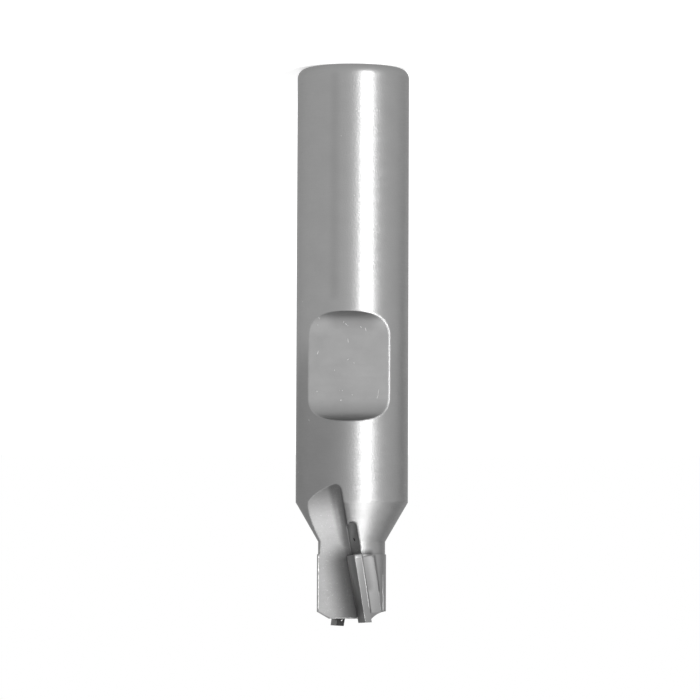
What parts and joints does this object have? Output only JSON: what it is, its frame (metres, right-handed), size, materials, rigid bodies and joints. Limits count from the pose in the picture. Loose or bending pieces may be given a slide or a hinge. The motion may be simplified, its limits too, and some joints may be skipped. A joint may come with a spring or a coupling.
{
  "type": "straight router bit",
  "caption": "Straight router bit: a round shank with a clamping flat, a tapered shoulder and a fluted head that carries brazed carbide cutting tips.",
  "frame": {"origin": "centre of the end face of the shank, on which the bit stands", "axes": "+Z along the axis of rotation towards the cutting end, -Y square out of the clamping flat"},
  "size_m": [0.016, 0.016, 0.0797],
  "materials": {
    "tool_steel": "ground round the axis, satin",
    "carbide": "fine ground, dark grey",
    "solder": "silvery, slightly uneven"
  },
  "bodies": {
    "root": {"tool_body": "tool_steel", "front_tip": "carbide", "rear_tip": "carbide", "front_solder": "solder", "rear_solder": "solder"}
  },
  "joints": []
}
